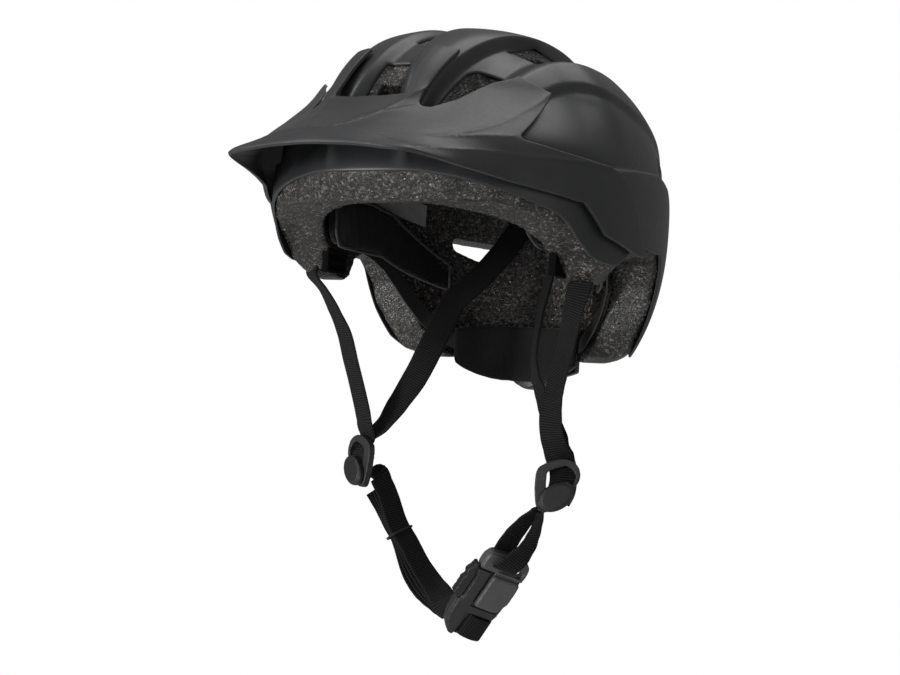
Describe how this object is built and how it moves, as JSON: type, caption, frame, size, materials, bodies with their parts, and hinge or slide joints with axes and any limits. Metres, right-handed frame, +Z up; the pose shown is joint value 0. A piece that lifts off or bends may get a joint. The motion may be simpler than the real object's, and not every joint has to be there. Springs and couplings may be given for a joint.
{
  "type": "cycling helmet",
  "caption": "Half-shell cycling helmet with tilting peak, vented ribbed shell, foam liner, dial cradle and webbing chin harness.",
  "frame": {"origin": "centre of the head cavity at the height of the brow edge, where the head sits", "axes": "+X towards the wearer's left, -Y forwards, +Z up towards the crown"},
  "size_m": [0.2288, 0.3319, 0.3569],
  "materials": {
    "shell_satin": "satin black moulded polycarbonate",
    "visor_matte": "fine-grained matt charcoal plastic",
    "eps_foam": "dark grey expanded bead foam",
    "pad_fabric": "black brushed knit over foam",
    "label_paper": "plain grey sticker",
    "nylon_black": "black moulded nylon",
    "band_plastic": "flexible black plastic",
    "dial_rubber": "black soft-touch rubber",
    "webbing": "black ribbed polyester webbing",
    "rubber_black": "black rubber",
    "steel": "plain steel"
  },
  "bodies": {
    "helmet": {"outer_shell": "shell_satin", "eps_liner": "eps_foam", "brow_pad": "pad_fabric", "crown_pad": "pad_fabric", "side_pad_left": "pad_fabric", "side_pad_right": "pad_fabric", "size_label": "label_paper", "visor_socket_left": "nylon_black", "visor_socket_right": "nylon_black", "strap_anchor_left": "nylon_black", "strap_anchor_right": "nylon_black", "rear_strap_anchor": "nylon_black", "cradle_pin_left": "nylon_black", "cradle_pin_right": "nylon_black", "strap_front_left": "webbing", "strap_front_right": "webbing", "strap_rear_left": "webbing", "strap_rear_right": "webbing"},
    "visor": {"visor": "visor_matte", "visor_pin_left": "nylon_black", "visor_pin_right": "nylon_black"},
    "cradle": {"cradle_plate": "nylon_black", "occipital_pad": "pad_fabric", "dial_housing": "nylon_black", "ratchet_spring": "steel", "band_left": "band_plastic", "band_right": "band_plastic"},
    "dial": {"dial_knob": "dial_rubber", "dial_pinion": "nylon_black", "dial_cap": "nylon_black"},
    "rack_left": {"rack_left": "nylon_black"},
    "rack_right": {"rack_right": "nylon_black"},
    "harness": {"divider_left": "nylon_black", "divider_right": "nylon_black", "cam_pin_left": "steel", "cam_pin_right": "steel", "chin_strap_left": "webbing", "chin_strap_right": "webbing", "strap_tail": "webbing", "keeper_ring": "rubber_black", "buckle_base": "nylon_black", "magnet_base": "steel"},
    "cam_left": {"cam_lever_left": "nylon_black"},
    "cam_right": {"cam_lever_right": "nylon_black"},
    "tongue": {"buckle_tongue": "nylon_black", "magnet_tongue": "steel"},
    "tab": {"release_tab": "nylon_black"}
  },
  "joints": [
    {"name": "visor_tilt", "type": "hinge", "parent": "helmet", "child": "visor", "pos_m": [0, -0.036, 0.002], "axis": [-1, 0, 0], "range_deg": [0, 12]},
    {"name": "cradle_swing", "type": "hinge", "parent": "helmet", "child": "cradle", "pos_m": [0, -0.02, -0.014], "axis": [1, 0, 0], "range_deg": [-8, 1], "deforming": ["band_left", "band_right"]},
    {"name": "dial_turn", "type": "hinge", "parent": "cradle", "child": "dial", "pos_m": [0, 0.095, -0.085], "axis": [0, 1, 0], "range_deg": [-90, 90]},
    {"name": "rack_left_slide", "type": "slide", "parent": "cradle", "child": "rack_left", "axis": [1, 0, 0], "range_m": [-0.0056, 0.0056]},
    {"name": "rack_right_slide", "type": "slide", "parent": "cradle", "child": "rack_right", "axis": [-1, 0, 0], "range_m": [-0.0056, 0.0056]},
    {"name": "harness_swing", "type": "hinge", "parent": "helmet", "child": "harness", "pos_m": [0, -0.01, -0.04], "axis": [1, 0, 0], "range_deg": [-12, 10], "deforming": ["strap_front_left", "strap_front_right", "strap_rear_left", "strap_rear_right"]},
    {"name": "cam_left_flip", "type": "hinge", "parent": "harness", "child": "cam_left", "pos_m": [0.06797, -0.01186, -0.15704], "axis": [-0.8829, -0.466, 0.0572], "range_deg": [0, 90]},
    {"name": "cam_right_flip", "type": "hinge", "parent": "harness", "child": "cam_right", "pos_m": [-0.06797, -0.01186, -0.15104], "axis": [-0.8829, 0.466, -0.0572], "range_deg": [0, 90]},
    {"name": "buckle_slide", "type": "slide", "parent": "harness", "child": "tongue", "axis": [0.5598, -0.0786, 0.8249], "range_m": [0, 0.022], "deforming": ["chin_strap_left"]},
    {"name": "tab_press", "type": "slide", "parent": "harness", "child": "tab", "axis": [0.5527, 0.7771, -0.301], "range_m": [0, 0.0018], "stiffness_N_per_m": 100}
  ],
  "couplings": [
    {"joint": "rack_left_slide", "follows": "dial_turn", "m_per_rad": 0.0035},
    {"joint": "rack_right_slide", "follows": "dial_turn", "m_per_rad": 0.0035}
  ]
}
